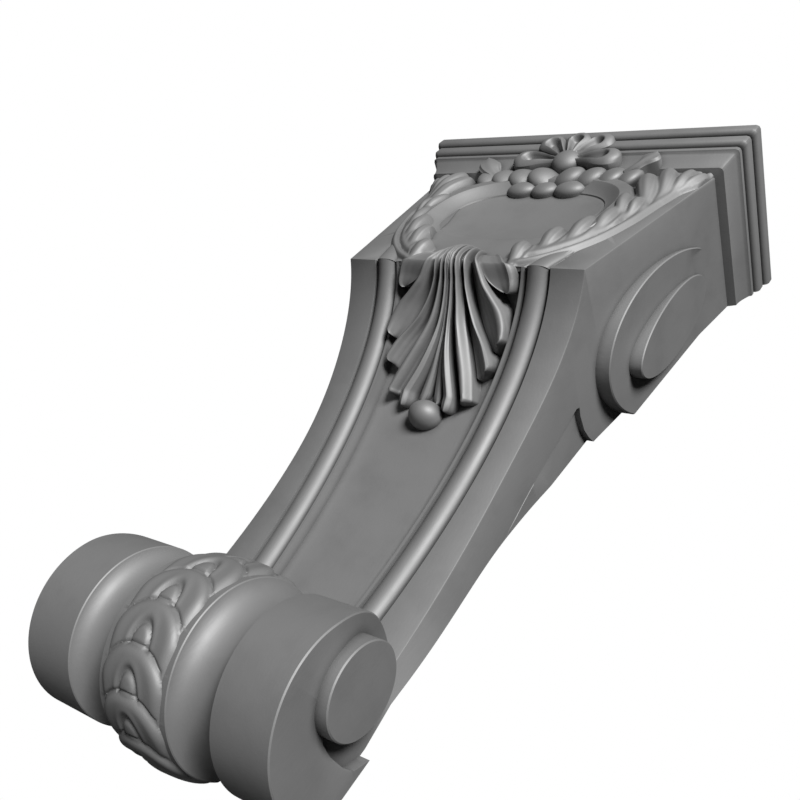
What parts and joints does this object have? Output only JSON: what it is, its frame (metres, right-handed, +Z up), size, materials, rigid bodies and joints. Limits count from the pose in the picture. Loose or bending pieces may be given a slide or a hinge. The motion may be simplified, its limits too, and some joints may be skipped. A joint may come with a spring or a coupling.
{
  "type": "carved scroll bracket",
  "caption": "Carved wall bracket with a moulded cap, an oval panel under a rosette, leaf sprays, a fanned leaf, a reeded concave neck and a rolled scroll foot.",
  "frame": {"origin": "on the flat back, on the plane of symmetry, 100 mm below the top of the cap", "axes": "+Z up towards the cap, +Y out of the back into the wall, so the carved front faces -Y, +X across the width"},
  "size_m": [0.2, 0.0921, 0.3963],
  "materials": {
    "carving": "mid-grey paint on carved wood, satin, lightly worn on the edges"
  },
  "bodies": {
    "root": {"carved_bracket": "carving"}
  },
  "joints": []
}
